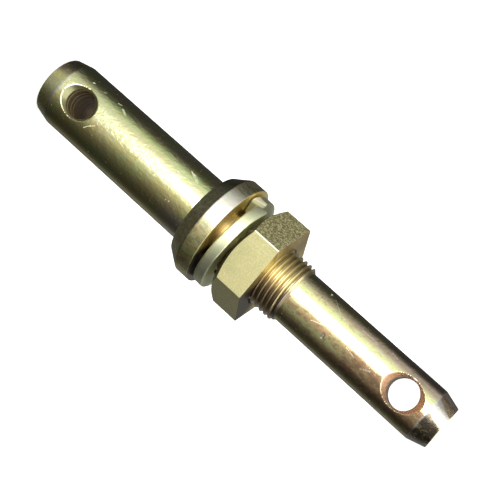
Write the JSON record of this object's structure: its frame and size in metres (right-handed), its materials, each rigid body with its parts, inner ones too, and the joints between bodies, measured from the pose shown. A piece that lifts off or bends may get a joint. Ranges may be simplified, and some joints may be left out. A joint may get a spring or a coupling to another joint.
{
  "type": "lower link pin",
  "caption": "Stepped lower link pin for a three-point linkage: a large shank, a collar, a threaded stud with spring washer and hex nut, and a small shank, both shanks cross-drilled.",
  "frame": {"origin": "centre of the larger end face, on which the pin stands", "axes": "+Z along the pin towards its smaller end; the cross holes run along Y"},
  "size_m": [0.044, 0.044, 0.1965],
  "materials": {
    "pin_zinc": "glossy yellow-chromated zinc plate",
    "washer_zinc": "pale satin zinc plate",
    "nut_zinc": "satin yellow-chromated zinc plate"
  },
  "bodies": {
    "pin": {"link_pin": "pin_zinc"},
    "washer": {"spring_washer": "washer_zinc"},
    "nut": {"hex_nut": "nut_zinc"}
  },
  "joints": [
    {"name": "washer_slide", "type": "slide", "parent": "pin", "child": "washer", "axis": [0, 0, 1], "range_m": [0, 0.0233]},
    {"name": "nut_turn", "type": "hinge", "parent": "washer", "child": "nut", "pos_m": [0, 0, 0.1008], "axis": [0, 0, 1], "range_deg": [0, 3960]}
  ],
  "couplings": [
    {"joint": "washer_slide", "follows": "nut_turn", "m_per_rad": 0.00033688}
  ]
}
